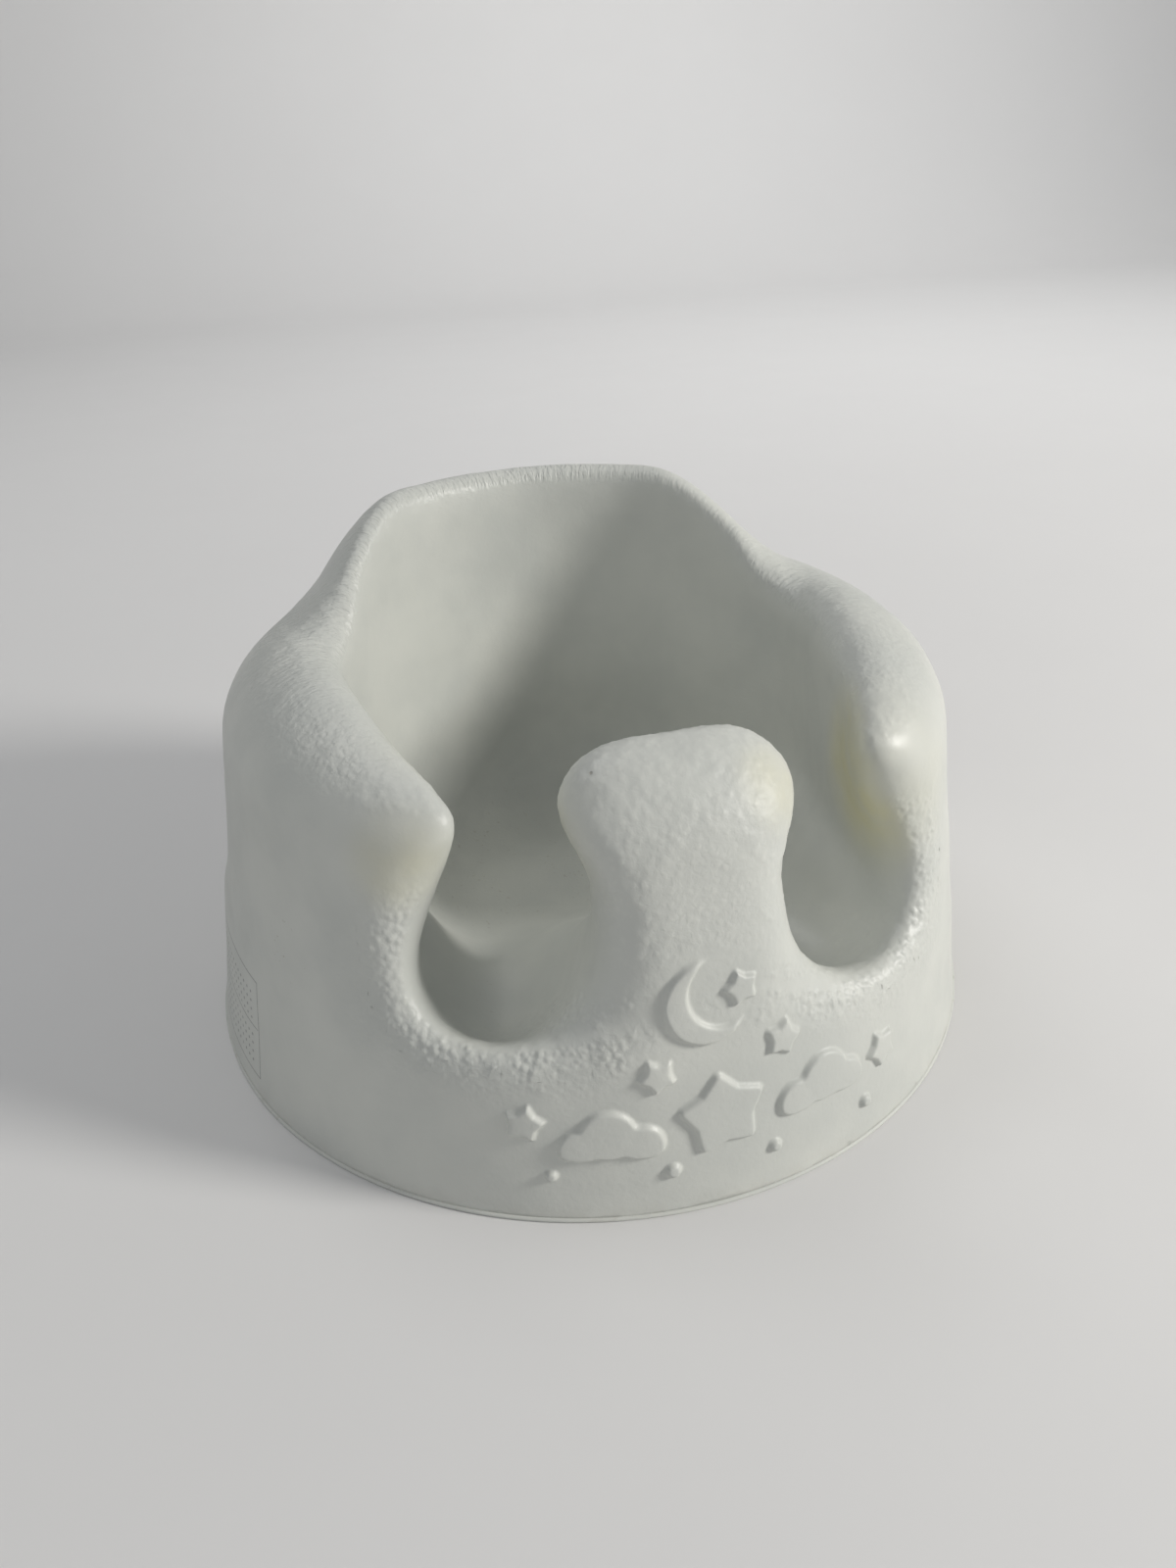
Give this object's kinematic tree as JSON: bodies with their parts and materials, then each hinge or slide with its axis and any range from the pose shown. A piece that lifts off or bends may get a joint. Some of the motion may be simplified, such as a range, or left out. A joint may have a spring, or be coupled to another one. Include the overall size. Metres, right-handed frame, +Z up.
{
  "type": "baby floor seat",
  "caption": "Low one-piece moulded foam floor seat for a baby, with a high curved back, broad arms, round leg openings and a centre post.",
  "frame": {"origin": "on the floor under the centre of the round base", "axes": "+Z up; the front with the leg openings and the post faces -Y; +X to the right of someone who looks along +Y at the front; the YZ plane is the mirror plane"},
  "size_m": [0.3819, 0.382, 0.2281],
  "materials": {
    "skin": "satin, fine pebbled moulding texture",
    "core": "open soft polyurethane foam",
    "base": "satin"
  },
  "bodies": {
    "root": {"moulded_skin": "skin", "foam_core": "core", "base_skin": "base"}
  },
  "joints": []
}
